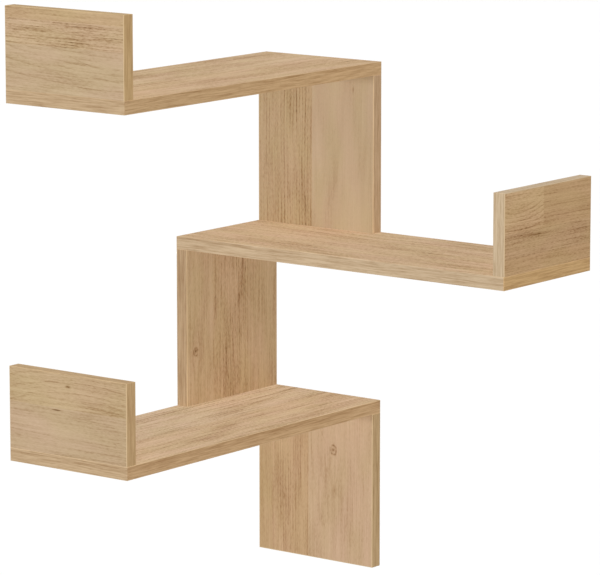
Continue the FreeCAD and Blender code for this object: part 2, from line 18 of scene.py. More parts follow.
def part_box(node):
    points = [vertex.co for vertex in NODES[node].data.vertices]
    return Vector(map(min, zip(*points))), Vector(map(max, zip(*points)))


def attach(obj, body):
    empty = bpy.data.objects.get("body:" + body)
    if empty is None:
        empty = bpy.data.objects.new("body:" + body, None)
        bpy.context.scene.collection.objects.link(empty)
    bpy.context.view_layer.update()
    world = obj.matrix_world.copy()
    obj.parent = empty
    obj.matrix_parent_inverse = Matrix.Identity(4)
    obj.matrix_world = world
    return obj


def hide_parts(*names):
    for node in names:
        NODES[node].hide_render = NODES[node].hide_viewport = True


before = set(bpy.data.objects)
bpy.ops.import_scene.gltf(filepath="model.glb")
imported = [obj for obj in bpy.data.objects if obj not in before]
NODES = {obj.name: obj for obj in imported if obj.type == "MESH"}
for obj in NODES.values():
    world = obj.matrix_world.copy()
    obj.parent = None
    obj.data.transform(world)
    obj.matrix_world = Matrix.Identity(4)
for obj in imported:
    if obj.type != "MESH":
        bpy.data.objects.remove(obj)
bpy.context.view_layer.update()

bl_info = {
    "name": "Corner Shelf Looks",
    "version": (1, 0, 0),
    "blender": (4, 5, 0),
    "location": "View3D > Sidebar > Corner Shelf",
    "description": "Finishes the boards and fittings of a hung corner shelf and sets its studio",
    "category": "Object",
}

MM = 0.001

END_PANELS = ["bottom_end_panel", "middle_end_panel", "top_end_panel"]
UPRIGHTS = ["lower_upright", "middle_upright", "upper_upright"]
JOINTS = ["lower_upright_top", "middle_upright_bottom", "middle_upright_top", "upper_upright_bottom",
          "upper_upright_top", *END_PANELS]

# Unit directions of the room: the right wall runs along +X, the left one along -Y.
OUT_RIGHT = Vector((1, 0, 0))
OUT_LEFT = Vector((0, -1, 0))
DOWN = Vector((0, 0, -1))

# How a board's print lies: directions across the grain, along it, and from the visible face inwards.
Lie = namedtuple("Lie", "across along inwards")
UPRIGHT_ON_RIGHT = Lie(OUT_RIGHT, DOWN, -OUT_LEFT)
UPRIGHT_ON_LEFT = Lie(-OUT_LEFT, DOWN, -OUT_RIGHT)
PANEL_ON_LEFT = Lie(DOWN, OUT_RIGHT, -OUT_LEFT)
PANEL_ON_RIGHT = Lie(DOWN, -OUT_LEFT, -OUT_RIGHT)
SHELF_ON_LEFT = Lie(OUT_RIGHT, -OUT_LEFT, DOWN)
SHELF_ON_RIGHT = Lie(OUT_LEFT, OUT_RIGHT, DOWN)

# A stave of the printed pattern, in millimetres from the face's corner: where it starts across the
# board and along it, the colour of its plain wood, how strong its growth lines and its fibres are, and
# how the face cuts the trunk: the heart's place across, its depth at the corner, how much deeper it
# gets for each millimetre along, and the width of a year.
Stave = namedtuple("Stave", "start begin colour lines fibres centre depth lean year")
# A knot: its place across and along, its radius, and how far round it the grain parts.
Knot = namedtuple("Knot", "across along radius reach")
# A dark mark: its middle across and along, half its width and length, how dark it is, and how its line
# leans and bends across the board along its length.
Mark = namedtuple("Mark", "across along half_width half_length depth lean bend", defaults=(0, 0))
# A board's print and bands: how it lies, where its noises start, the colour of its long bands and of
# those at its ends, how pale the rims of either are, as cut core and a painted highlight on the arris,
# what is drawn on the face, and where the bands get darker next to the face, placed by their distance
# from the face and along the board.
Board = namedtuple("Board", "lie seed band end rim end_rim staves knots marks edge_marks",
                   defaults=((),))

BOARDS = {
    "top_end_panel": Board(PANEL_ON_LEFT, 3.1, "#B99F78", "#C0A57D", 0.2, 0.7, [
        Stave(0, 0, "#C0A786", 0.5, 0.85, -260, 5, 0, 6),
        Stave(15, 0, "#C3AB8E", 1.1, 1.15, 75, 6, 0.05, 3.4),
        Stave(48, 0, "#C2AC91", 0.75, 0.6, -40, 60, -0.3, 7)], [], [
        Mark(17, 134, 1.3, 66, 0.5, 0, 0.0011), Mark(30, 18, 1.8, 13, 0.5),
        Mark(66, 135, 1.2, 56, 0.35, 0.25, -0.0024), Mark(69, 130, 1.2, 8, 0.3),
        Mark(47, 18, 1.0, 18, 0.3), Mark(38, 60, 1.2, 26, 0.3)]),
    "middle_end_panel": Board(PANEL_ON_RIGHT, 7.7, "#BDA98E", "#C1AD91", 0.3, 0.7, [
        Stave(0, 0, "#CCB191", 0.95, 0.95, -10, -18, 0.53, 6),
        Stave(0, 89, "#C2A585", 0.65, 0.95, 200, 10, 0.1, 5),
        Stave(55, 0, "#BEA283", 0.45, 1.4, 240, 10, 0, 3.5),
        Stave(88, 0, "#C3A686", 0.45, 0.95, 260, 10, 0, 6)], [], [
        Mark(62, 75, 2.6, 80, 0.2, 0.05), Mark(70, 120, 2.2, 60, 0.2, 0.08)]),
    "bottom_end_panel": Board(PANEL_ON_LEFT, 11.3, "#B89E7A", "#BFA47F", 0.2, 0.7, [
        Stave(0, 0, "#C0A98A", 0.65, 0.8, 120, -59, 0.456, 7),
        Stave(46, 0, "#BEA78C", 0.4, 0.75, 200, 8, 0.04, 7)], [], [
        Mark(16, 101, 2.8, 8, 1.2), Mark(49, 81, 1.7, 12, 1.2), Mark(29, 48, 1.2, 52, 0.45, -0.2),
        Mark(90, 16, 1.3, 9, 0.5), Mark(56, 120, 1.0, 30, 0.3, -0.05)]),
    "upper_upright": Board(UPRIGHT_ON_RIGHT, 17.9, "#BAA186", "#BAA186", 0.7, 0.7, [
        Stave(0, 0, "#B19A7D", 1.2, 1.05, -180, 4, 0, 5.2),
        Stave(94, 0, "#B6A289", 0.2, 0.35, 122, 12, 0.12, 9)], [], [
        Mark(165, 22, 1.6, 7, 0.8), Mark(54, 175, 1.4, 16, 0.6), Mark(92.5, 100, 1.2, 130, 0.35),
        Mark(32, 110, 1.3, 120, 0.35), Mark(67, 60, 1.2, 60, 0.4), Mark(51, 160, 1.2, 70, 0.4),
        Mark(114, 150, 2.4, 28, 0.25)]),
    # Its bands are darker than the other uprights', in part as painted shade between the shelves above
    # and below its front edge.
    "middle_upright": Board(UPRIGHT_ON_LEFT, 23.3, "#AE9577", "#AE9577", 0.7, 0.7, [
        Stave(0, 0, "#C2AC92", 0.35, 0.75, -150, 5, 0, 8),
        Stave(57, 0, "#BDA58A", 0.4, 1.3, 112, 4, 0.1, 5),
        Stave(133, 0, "#BDA58B", 0.55, 0.8, 420, 4, 0, 6)], [Knot(19, 144, 7, 17)], [
        Mark(93, 40, 2.6, 40, 0.25), Mark(98, 112, 2.4, 24, 0.15, 0.3),
        Mark(112, 190, 10, 34, 0.25), Mark(58, 140, 1.6, 44, 0.3),
        Mark(123, 78, 1.6, 22, 0.12, 0.25), Mark(134, 40, 2.4, 40, 0.25)]),
    "lower_upright": Board(UPRIGHT_ON_RIGHT, 29.5, "#BAA17E", "#BAA17E", 0.7, 0.7, [
        Stave(0, 0, "#BCA07E", 0.2, 0.5, -200, 4, 0, 8),
        Stave(24, 0, "#BEA081", 0.8, 0.8, -150, 4, 0, 4.4),
        Stave(88, 0, "#C2A78C", 0.4, 0.6, 118, 9, 0.12, 8)], [Knot(132, 59, 8, 22)], [
        Mark(45, 136, 3, 10, 0.45), Mark(61, 172, 1.6, 36, 0.5), Mark(121, 88, 1.4, 8, 0.6),
        Mark(112, 38, 1.4, 20, 0.4, 0.5), Mark(136, 118, 8, 12, 0.2),
        Mark(162, 110, 1.2, 90, 0.2)]),
    "top_shelf": Board(SHELF_ON_LEFT, 37.1, "#C3A784", "#BCA383", 0.2, 0.2, [
        Stave(0, 0, "#C9B092", 0.8, 1.15, -100, 5, 0, 8),
        Stave(105, 0, "#C9AE90", 0.9, 1.1, 420, 5, 0, 6)], [], [
        Mark(112, 190, 2.4, 60, 0.35), Mark(118, 310, 1.8, 60, 0.3)],
        [Mark(0.5, 272, 5, 600, 0.14)]),
    "middle_shelf": Board(SHELF_ON_RIGHT, 41.7, "#BFAA8E", "#C5A67B", 0.2, 0.2, [
        Stave(0, 0, "#C6AD90", 0.9, 1.4, -100, 5, 0, 8),
        Stave(120, 0, "#C6AD90", 1.1, 1.4, 460, 5, 0, 8)], [], [
        Mark(152, 192, 3.4, 7, 0.8), Mark(107, 436, 1.8, 30, 0.5), Mark(150, 90, 1.6, 60, 0.3)],
        [Mark(2.5, 60, 5, 180, 0.16)]),
    "bottom_shelf": Board(SHELF_ON_LEFT, 47.9, "#C4A683", "#BDA484", 0.6, 0.6, [
        Stave(0, 0, "#C8B196", 1.0, 1.45, -100, 5, 0, 8),
        Stave(108, 0, "#C8AF92", 1.1, 1.35, 460, 5, 0, 6)], [], [
        Mark(40, 417, 2.6, 12, 0.5), Mark(120, 300, 1.8, 70, 0.3)],
        [Mark(2.5, 272, 9, 600, 0.14)]),
}

# Streaks drawn out along the grain: usual width and length in millimetres, a step on from the board's
# seed, and how fine their detail is.
Streak = namedtuple("Streak", "width length step detail")
HEART_WANDER = Streak(40, 120, 0, 3)
RAGGED_RINGS = Streak(6, 50, 5, 2)
FAINT_RINGS = Streak(14, 160, 9, 1)
BROKEN_KNOT = Streak(4, 4, 0, 1)
CLOUDS = Streak(36, 160, 30, 2)
WARM_PATCHES = Streak(28, 90, 60, 1)
BAND_DASHES = Streak(1.3, 9, 10, 1)
BEECH_FIBRE = Streak(0.5, 12, 3, 3)
BEECH_RAYS = Streak(0.35, 2.2, 9, 0)

# Stops of grey from 0 to 1: a year's rise to its dark late wood, and a knot's rings from rim to heart.
YEAR_STOPS = ((0, 0.3), (0.15, 0), (0.55, 0.1), (0.84, 0.5), (0.93, 1), (1, 0.3))
KNOT_STOPS = ((0, 0), (0.14, 0.7), (0.32, 1), (0.5, 0.45), (0.72, 0.6), (1, 1))
# Levels of plain wood, from 0 for a knot to 1 for the palest streak, in its darkest and lightest clouds.
PLAIN_LEVELS = (0.5556, 0.8156)
# Ranges that hold the middle and the most of a noise's values.
MIDDLE, MOST = (0.35, 0.65), (0.3, 0.7)
# How far the trunk's heart strays in all, in millimetres, and a ring, in widths of a year.
HEART_STRAY, RING_STRAY = 12.0, 0.6
# How much longer than wide are a knot and the patch in which the grain parts round it, and how strongly
# it parts.
KNOT_LENGTH, PARTING_LENGTH, PARTING = 1.2, 2.6, 0.75

# Radii of the frame's own bolts, dowels and screws, by which their axes are found.
BOLT_SEAT, DOWEL_SEAT, SCREW_SEAT = 3.5 * MM, 4 * MM, 3.4 * MM
# Where a cam bolt's tip, core, shank, neck and head begin, and its top, above the board that holds it.
# The tip's share of the core's radius. How far the bolt's edges are rounded off.
BOLT_TIP, BOLT_CORE, BOLT_SHANK, BOLT_NECK, BOLT_HEAD, BOLT_TOP = (
    height * MM for height in (-11, -9.5, 0, 25.5, 29.8, 33))
BOLT_TIP_SHARE = 0.6
SHANK_EDGE, NECK_EDGE, HEAD_EDGE = 0.4 * MM, 0.3 * MM, 0.8 * MM
# Where a hanger screw's tip, core, neck and the cone of its head begin, under the face of its plate.
SCREW_TIP, SCREW_CORE, SCREW_NECK, SCREW_CONE = (height * MM for height in (-12, -9, -2, -1.65))
SCREW_TIP_RADIUS = 0.08 * MM
# Where a thread begins and ends, how deep its ridge stands in the core, and its steps in a turn.
BOLT_THREAD, SCREW_THREAD = (-9.2 * MM, -0.8 * MM), (-8.8 * MM, -2.6 * MM)
THREAD_FOOT, THREAD_STEPS = 0.15 * MM, 24
# A driver's cross: its reach from the axis, half its slots' width, its depth, and its taper.
Cross = namedtuple("Cross", "reach half_width depth")
BOLT_CROSS, SCREW_CROSS = Cross(2.0 * MM, 0.5 * MM, 1.6 * MM), Cross(1.7 * MM, 0.45 * MM, 1.1 * MM)
CROSS_TAPER = 0.62
# A dowel's length and chamfer, and the sides of its bar for each flute; the sides of a bolt or screw.
DOWEL_LENGTH, DOWEL_EDGE, FLUTE_SIDES, BAR_SIDES = 30 * MM, 1 * MM, 4, 32
# The least cosine at which a face is turned to a direction, the distance at which points are one, and
# the angle up to which an edge is smoothed.
FACING, TOUCHING, SMOOTH_UP_TO = 0.9, 0.001 * MM, math.radians(35)

# Each lamp's direction from the shelf and the colour of its light.
LAMPS = {"key": ((-0.1, -1, 0.012), "#EEF5FF"), "fill": ((0.78, -0.62, 0.012), "#FFF6E4"),
         "rear": ((-0.7, 0.7, 0.012), "#FFFFFF"), "overhead": ((0, 0, 1), "#FFFFFF")}
SENSOR_WIDTH = 36


def linear(hex_colour):
    """Linear RGBA of an sRGB hex colour."""
    parts = [int(hex_colour[i:i + 2], 16) / 255 for i in (1, 3, 5)]
    return [c / 12.92 if c <= 0.04045 else ((c + 0.055) / 1.055) ** 2.4 for c in parts] + [1.0]


def add_node(tree, kind, inputs=(), stops=(), **settings):
    """Add a node with its settings and a ramp's stops, and link or set inputs by order or by name.

    Its kind may be followed by what it works out, such as a sum, or by the type of data that it mixes.
    """
    kind, _, work = kind.partition(" ")
    node = tree.nodes.new(f"ShaderNode{kind}")
    if work:
        setattr(node, "data_type" if kind == "Mix" else "operation", work)
    for name, value in settings.items():
        setattr(node, name, value)
    for number, (position, shade) in enumerate(stops):
        ramp = node.color_ramp.elements
        stop = ramp[number] if number < 2 else ramp.new(position)
        stop.position = position
        stop.color = linear(shade) if isinstance(shade, str) else (shade, shade, shade, 1)
    sockets = [socket for socket in node.inputs if socket.enabled]
    by_name = {socket.name: socket for socket in sockets}
    for key, source in inputs.items() if isinstance(inputs, dict) else enumerate(inputs):
        target = by_name[key] if isinstance(key, str) else sockets[key]
        if isinstance(source, bpy.types.Node):
            source = next(socket for socket in source.outputs if socket.enabled)
        if isinstance(source, bpy.types.NodeSocket):
            tree.links.new(source, target)
        else:
            target.default_value = source
    return node


def new_material(name):
    """Empty material, and the function that adds a node to it."""
    material = bpy.data.materials.new(name)
    material.use_nodes = True
    material.node_tree.nodes.clear()
    return material, partial(add_node, material.node_tree)


def dress(node_name, material):
    """Give a node of the frame one material all over."""
    for material_slot in NODES[node_name].material_slots:
        material_slot.material = material


def board_box(name):
    """Lowest and highest corner of a board with its edge bands."""
    core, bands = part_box(name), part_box(f"{name}_edge_bands")
    low = [min(pair) for pair in zip(core[0], bands[0])]
    high = [max(pair) for pair in zip(core[1], bands[1])]
    return low, high


def in_grain(add, name):
    """Millimetres across the grain, along it and in from the visible face, from that face's corner."""
    lie = BOARDS[name].lie
    low, high = board_box(name)
    towards = lie.across + lie.along + lie.inwards
    corner = Vector([a if step > 0 else b for a, b, step in zip(low, high, towards)])
    turn = Matrix(lie)
    flip = -1 if turn.determinant() < 0 else 1
    place = add("TexCoord")
    return add("Mapping", {
        "Vector": place.outputs["Object"], "Location": -(turn @ corner) / MM,
        "Rotation": (turn @ Matrix.Diagonal((1, 1, flip))).to_euler(),
        "Scale": (1 / MM, 1 / MM, flip / MM)})


def off_middle(add, distance, half):
    """Distance from the middle of a length, from the distance to its one end and half the length."""
    return add("Math ABSOLUTE", [add("Math SUBTRACT", [distance, half])])


def streaks(add, at, streak, seed):
    """Noise drawn out along the grain, from 0 to 1."""
    seed += streak.step
    spot = add("Mapping", {
        "Vector": at, "Scale": (1 / streak.width, 1 / streak.length, 1 / streak.width),
        "Location": (seed, seed / 3, seed / 2)})
    return add("TexNoise", {"Vector": spot, "Scale": 1.0, "Detail": streak.detail, "Roughness": 0.55})


def soft_spot(add, at, mark):
    """Long patch that follows its line and fades from its middle to its rim."""
    away = add("SeparateXYZ", [add("VectorMath SUBTRACT", [at, (mark.across, mark.along, 0)])])
    turn = add("Math MULTIPLY_ADD", [away.outputs["Y"], mark.bend, mark.lean])
    line = add("Math MULTIPLY", [away.outputs["Y"], turn])
    aside = add("Math SUBTRACT", [away.outputs["X"], line])
    share = add("VectorMath MULTIPLY", [add("CombineXYZ", [aside, away.outputs["Y"]]),
                                        (1 / mark.half_width, 1 / mark.half_length, 0)])
    reach = add("VectorMath LENGTH", [share])
    return add("MapRange", [reach.outputs["Value"], 0.0, 1.0, mark.depth, 0.0],
               interpolation_type="SMOOTHSTEP")


def part_round(add, at, knot):
    """Bend the grain's lines outwards round a knot."""
    parting = Mark(knot.across, knot.along, knot.reach, knot.reach * PARTING_LENGTH, PARTING)
    pull = soft_spot(add, at, parting)
    away = add("VectorMath SUBTRACT", [at, (knot.across, 0, 0)])
    sideways = add("VectorMath MULTIPLY", [away, (1, 0, 0)])
    shift = add("VectorMath SCALE", {0: sideways, "Scale": pull})
    return add("VectorMath SUBTRACT", [at, shift])


def growth_lines(add, at, cut, year, seed):
    """Dark late wood of each year, from 0 to 1, where the face cuts the trunk."""
    parts = add("SeparateXYZ", [at])
    heart = add("SeparateXYZ", [cut])
    off_heart = add("Math SUBTRACT", [parts.outputs["X"], heart.outputs["X"]])
    deeper = add("Math MULTIPLY_ADD", [parts.outputs["Y"], heart.outputs["Z"], heart.outputs["Y"]])
    middle = add("Math SUBTRACT", [deeper, HEART_STRAY / 2])
    below = add("Math MULTIPLY_ADD", [streaks(add, at, HEART_WANDER, seed), HEART_STRAY, middle])
    radius = add("VectorMath LENGTH", [add("CombineXYZ", [off_heart, below])])
    years = add("Math DIVIDE", [radius.outputs["Value"], year])
    ragged = add("Math MULTIPLY_ADD", [streaks(add, at, RAGGED_RINGS, seed), RING_STRAY, years])
    season = add("Math FRACT", [ragged])
    profile = add("ValToRGB", [season], stops=YEAR_STOPS)
    whole_year = add("Math FLOOR", [years])
    strength = add("TexWhiteNoise", {"W": whole_year}, noise_dimensions="1D")
    some = add("MapRange", [strength, 0.0, 1.0, 0.3, 1.0])
    faded = add("MapRange", [streaks(add, at, FAINT_RINGS, seed), *MIDDLE, 0.35, 1.0])
    lines = add("Math MULTIPLY", [profile, some])
    return add("Math MULTIPLY", [lines, faded])


def lay_staves(add, place, staves):
    """At each place, the stave's cut through its trunk, its year, lines and fibres, and its wood."""
    parts = add("SeparateXYZ", [place])
    cuts = [(stave.centre, stave.depth, stave.lean) for stave in staves]
    values = [(stave.year, stave.lines, stave.fibres) for stave in staves]
    cut, value, wood = cuts[0], values[0], linear(staves[0].colour)
    for stave, next_cut, next_value in zip(staves[1:], cuts[1:], values[1:]):
        # A stave that begins at 0 takes in the very edge.
        beside = add("Math GREATER_THAN", [parts.outputs["X"], stave.start - 0.01])
        beyond = add("Math GREATER_THAN", [parts.outputs["Y"], stave.begin - 0.01])
        inside = add("Math MULTIPLY", [beside, beyond])
        cut = add("Mix VECTOR", [inside, cut, next_cut])
        value = add("Mix VECTOR", [inside, value, next_value])
        wood = add("Mix RGBA", [inside, wood, linear(stave.colour)])
    return cut, add("SeparateXYZ", [value]), wood


def dark_spots(add, place, board):
    """At each place, the darkest of a board's marks and knots."""
    spots = [soft_spot(add, place, mark) for mark in board.marks]
    for knot in board.knots:
        heart = Mark(knot.across, knot.along, knot.radius, knot.radius * KNOT_LENGTH, 1)
        rings = add("ValToRGB", [soft_spot(add, place, heart)], stops=KNOT_STOPS)
        broken = add("MapRange", [streaks(add, place, BROKEN_KNOT, board.seed), *MIDDLE, 0.3, 1.0])
        spots.append(add("Math MULTIPLY", [rings, broken]))
    darkest = 0.0
    for spot in spots:
        darkest = add("Math MAXIMUM", [darkest, spot])
    return darkest


def printed_oak(name):
    """Melamine film printed as light oak and pressed on particle board: flat, even and nearly matt.

    The print has staves, growth lines, fibres and pores. Real fibres and pores are 0.1 to 0.3 mm wide.
    They are drawn 1 mm wide and more, so that they show. Drilled holes show the chips of the core.
    """
    board = BOARDS[name]
    look = bpy.context.scene.oak_print
    material, add = new_material(f"Oak print melamine film, {name.replace('_', ' ')}")
    place = in_grain(add, name)
    wander = streaks(add, place, Streak(look.sway_width, look.sway_width * 4, 0, 1), board.seed)
    sway = add("Math MULTIPLY_ADD", [wander, look.sway, -look.sway / 2])
    at = add("VectorMath ADD", [place, add("CombineXYZ", [sway])])
    for knot in board.knots:
        at = part_round(add, at, knot)

    cut, strong, wood = lay_staves(add, place, board.staves)
    rings = growth_lines(add, at, cut, strong.outputs["X"], board.seed)
    lines = add("Math MULTIPLY", [rings, strong.outputs["Y"]])
    spots = dark_spots(add, place, board)

    # Pores gather along the growth lines.
    pore_noise = streaks(add, at, Streak(look.pore_width, look.pore_length, 40, 0), board.seed)
    pores = add("MapRange", [pore_noise, 0.48, 0.7, 0.0, 1.0])
    gathered = add("Math MULTIPLY_ADD", [lines, 0.45, 0.4])
    pores = add("Math MULTIPLY", [pores, gathered])
    pores = add("Math MULTIPLY", [pores, strong.outputs["Z"]])

    # Fibres, broad streaks and flecks, each by its share, take the level up as far as down.
    kinds = ((Streak(look.fibre_width, look.fibre_width * 45, 20, 3), 1.0),
             (Streak(look.band_width, look.band_width * 14, 25, 2), 0.42),
             (Streak(look.fleck_width, look.fleck_width * 5, 50, 2), 0.75))
    texture = -sum(share for streak, share in kinds) / 2
    for streak, share in kinds:
        texture = add("Math MULTIPLY_ADD", [streaks(add, at, streak, board.seed), share, texture])
    level = add("MapRange", [streaks(add, at, CLOUDS, board.seed), *MOST, *PLAIN_LEVELS])
    for pattern, share in ((texture, strong.outputs["Z"]), (lines, -0.5), (pores, -0.26), (spots, -0.5)):
        level = add("Math MULTIPLY_ADD", [pattern, share, level])
    shades = add("ValToRGB", [level], stops=(
        (0, look.knot_shade), (0.3, look.dark_shade), (0.6, look.plain_shade), (1, look.light_shade)))
    tints = add("ValToRGB", [streaks(add, place, WARM_PATCHES, board.seed)],
                stops=zip(MIDDLE, (look.yellow_tint, look.pink_tint)))
    tinted = add("Mix RGBA", [1.0, wood, tints], blend_type="MULTIPLY")
    toned = add("Mix RGBA", [1.0, tinted, shades], blend_type="MULTIPLY")
    bright = add("VectorMath SCALE", {0: toned, "Scale": look.brightness})

    # The core's chips are about 1.8 mm long.
    chips = add("TexVoronoi", {"Vector": place, "Scale": 1 / 1.8})
    chip_shade = add("ValToRGB", [add("SeparateColor", [chips.outputs["Color"]])],
                     stops=((0, "#8A6D4A"), (1, "#C9AD84")))
    half = look.board_thickness / 2
    depth = add("SeparateXYZ", [place]).outputs["Z"]
    in_core = add("Math LESS_THAN", [off_middle(add, depth, half), half - look.film])
    gloss = add("MapRange", [pores, 0.0, 1.0, look.roughness, 1.0])
    relief = add("Math MULTIPLY", [pores, -1.0])
    shader = add("BsdfPrincipled", {
        "Base Color": add("Mix RGBA", [in_core, bright, chip_shade]),
        "Roughness": add("Mix", [in_core, gloss, 1.0]),
        "Specular IOR Level": look.sheen,
        "Normal": add("Bump", {"Strength": 0.5, "Distance": 0.04 * MM, "Height": relief})})
    add("OutputMaterial", {"Surface": shader})
    return material


def edge_band(name):
    """ABS band, extruded, printed in the board's colour and glued round its edges.

    It is plain along its face and paler at its rims, where the cut arris shows its core and a highlight
    is painted.
    """
    board = BOARDS[name]
    look = bpy.context.scene.band_look
    material, add = new_material(f"ABS edge band, {name.replace('_', ' ')}")
    place = in_grain(add, name)
    parts = add("SeparateXYZ", [place])
    low, high = board_box(name)
    half_length = abs((Vector(high) - Vector(low)).dot(board.lie.along)) / MM / 2
    at_end = add("Math GREATER_THAN", [off_middle(add, parts.outputs["Y"], half_length),
                                       half_length - look.thickness])
    turned = add("CombineXYZ", [parts.outputs["Y"], parts.outputs["X"], parts.outputs["Z"]])
    along_band = add("Mix VECTOR", [at_end, place, turned])
    fibre = streaks(add, along_band, Streak(look.grain_width, look.grain_width * 30, 0, 2), board.seed)
    dashes = add("MapRange", [streaks(add, along_band, BAND_DASHES, board.seed), 0.5, 0.75, 0.0, 0.1])
    grain = add("Math SUBTRACT", [fibre, dashes])
    beside_face = add("CombineXYZ", [parts.outputs["Z"], parts.outputs["Y"]])
    # Each edge mark darkens the band along its side next to the face.
    for mark in board.edge_marks:
        grain = add("Math SUBTRACT", [grain, soft_spot(add, beside_face, mark)])
    shades = add("ValToRGB", [grain], stops=((0.2, look.dark_shade), (0.6, look.light_shade)))
    colour = add("Mix RGBA", [at_end, linear(board.band), linear(board.end)])
    plain = add("Mix RGBA", [1.0, colour, shades], blend_type="MULTIPLY")
    bright = add("VectorMath SCALE", {0: plain, "Scale": look.brightness})

    # The pale rim along each arris is partly the band's cut core and partly a painted highlight, set for
    # each board.
    half = bpy.context.scene.oak_print.board_thickness / 2
    on_rim = add("Math GREATER_THAN", [off_middle(add, parts.outputs["Z"], half), half - look.rim])
    rim_paleness_and_highlight = add("Mix", [at_end, board.rim, board.end_rim])
    rim = add("Math MULTIPLY", [on_rim, rim_paleness_and_highlight])
    shader = add("BsdfPrincipled", {
        "Base Color": add("Mix RGBA", [rim, bright, linear(look.cut_rim_and_highlight_colour)]),
        "Roughness": look.roughness, "Specular IOR Level": look.sheen})
    add("OutputMaterial", {"Surface": shader})
    return material


def cast_zinc():
    """Zinc alloy, die-cast and tumbled: dull grey, a little cloudy, with a fine orange-peel skin."""
    material, add = new_material("Zinc alloy, die-cast and tumbled")
    place = add("TexCoord").outputs["Object"]
    cloud = add("TexNoise", {"Vector": place, "Scale": 1 / (4 * MM), "Detail": 3.0})
    # The real skin is about 0.1 mm fine. It is drawn coarser, so that it shows.
    skin = add("TexNoise", {"Vector": place, "Scale": 1 / (0.4 * MM), "Detail": 2.0})
    shader = add("BsdfPrincipled", {
        "Base Color": add("ValToRGB", [cloud], stops=zip(MOST, ("#9C9EA1", "#B9BABB"))),
        "Roughness": add("MapRange", [cloud, *MOST, 0.36, 0.52]), "Metallic": 1.0,
        "Normal": add("Bump", {"Strength": 0.6, "Distance": 0.03 * MM, "Height": skin})})
    add("OutputMaterial", {"Surface": shader})
    return material


def plated_steel(name, colour, dark_colour, roughness, mark_width, mark_length):
    """Zinc-plated steel: bright, and slightly blue or yellow, with the marks of its rolling or heading.

    The marks' sizes are in millimetres. Real ones are about 0.1 mm wide. They are drawn wider, so that
    they show.
    """
    material, add = new_material(name)
    place = add("TexCoord").outputs["Object"]
    spangle = add("TexNoise", {"Vector": place, "Scale": 1 / (3 * MM), "Detail": 2.0})
    fine = add("Mapping", {"Vector": place, "Scale": (
        1 / (mark_width * MM), 1 / (mark_width * MM), 1 / (mark_length * MM))})
    marks = add("TexNoise", {"Vector": fine, "Scale": 1.0, "Detail": 2.0})
    dull = add("Math MULTIPLY", [spangle, marks])
    shader = add("BsdfPrincipled", {
        "Base Color": add("ValToRGB", [dull], stops=((0.12, dark_colour), (0.38, colour))),
        "Roughness": add("MapRange", [marks, *MOST, roughness - 0.05, roughness + 0.08]),
        "Metallic": 1.0,
        "Normal": add("Bump", {"Strength": 0.4, "Distance": 0.01 * MM, "Height": marks})})
    add("OutputMaterial", {"Surface": shader})
    return material


def turned_beech():
    """Beech, turned and fluted, without a finish: warm and matt, with the wood's short dark rays."""
    material, add = new_material("Beech, turned and bare")
    place = add("VectorMath MULTIPLY", [add("TexCoord").outputs["Object"], (1 / MM, 1 / MM, 1 / MM)])
    upright = add("SeparateXYZ", [place])
    along = add("CombineXYZ", [upright.outputs["X"], upright.outputs["Z"], upright.outputs["Y"]])
    fibre = streaks(add, along, BEECH_FIBRE, 0)
    rays = add("MapRange", [streaks(add, along, BEECH_RAYS, 0), 0.6, 0.72, 0.0, 0.5])
    level = add("Math SUBTRACT", [fibre, rays])
    shader = add("BsdfPrincipled", {
        "Base Color": add("ValToRGB", [level], stops=((0, "#9E7246"), (0.65, "#DDBC8C"))),
        "Roughness": 0.75, "Specular IOR Level": 0.3,
        "Normal": add("Bump", {"Strength": 0.5, "Distance": 0.05 * MM, "Height": fibre})})
    add("OutputMaterial", {"Surface": shader})
    return material


def moulded_cap():
    """Polyethylene in the oak's colour, injection moulded: even and soft, with a spark-eroded grain."""
    material, add = new_material("Polyethylene, injection moulded")
    place = add("TexCoord").outputs["Object"]
    # The real grain is about 0.05 mm fine. It is drawn coarser, so that it shows.
    grain = add("TexNoise", {"Vector": place, "Scale": 1 / (0.5 * MM), "Detail": 2.0})
    flow = add("TexNoise", {"Vector": place, "Scale": 1 / (9 * MM), "Detail": 1.0})
    shader = add("BsdfPrincipled", {
        "Base Color": add("ValToRGB", [flow], stops=((0, "#C3A57C"), (1, "#CFB38B"))),
        "Roughness": 0.55, "Specular IOR Level": 0.4,
        "Normal": add("Bump", {"Strength": 0.6, "Distance": 0.02 * MM, "Height": grain})})
    add("OutputMaterial", {"Surface": shader})
    return material


def select_only(*pieces):
    """Select these pieces alone, with the first one active."""
    bpy.ops.object.select_all(action="DESELECT")
    for piece in pieces:
        piece.select_set(True)
    bpy.context.view_layer.objects.active = pieces[0]


def pick(piece, kind, test):
    """In edit mode, select only the faces or points that pass a test."""
    bpy.ops.mesh.select_mode(type="FACE" if kind == "faces" else "VERT")
    bpy.ops.mesh.select_all(action="DESELECT")
    form = bmesh.from_edit_mesh(piece.data)
    for part in getattr(form, kind):
        part.select_set(test(part))
    form.select_flush_mode()
    bmesh.update_edit_mesh(piece.data)


def face_outwards():
    """Turn all faces of the piece outwards and leave edit mode."""
    bpy.ops.mesh.select_all(action="SELECT")
    bpy.ops.mesh.normals_make_consistent(inside=False)
    bpy.ops.object.mode_set(mode="OBJECT")


def draw_out(piece, end, steps):
    """Extrude a round bar's top (1) or bottom (-1) through heights and radii, from its own ones."""
    height, radius = steps[0]
    pick(piece, "faces", lambda face: face.normal.z * end > FACING
         and abs(face.calc_center_median().z - height) < TOUCHING)
    for next_height, next_radius in steps[1:]:
        bpy.ops.mesh.extrude_region_move(TRANSFORM_OT_translate={"value": (0, 0, next_height - height)})
        share = next_radius / radius
        bpy.ops.transform.resize(value=(share, share, 1), center_override=(0, 0, next_height))
        height, radius = next_height, next_radius


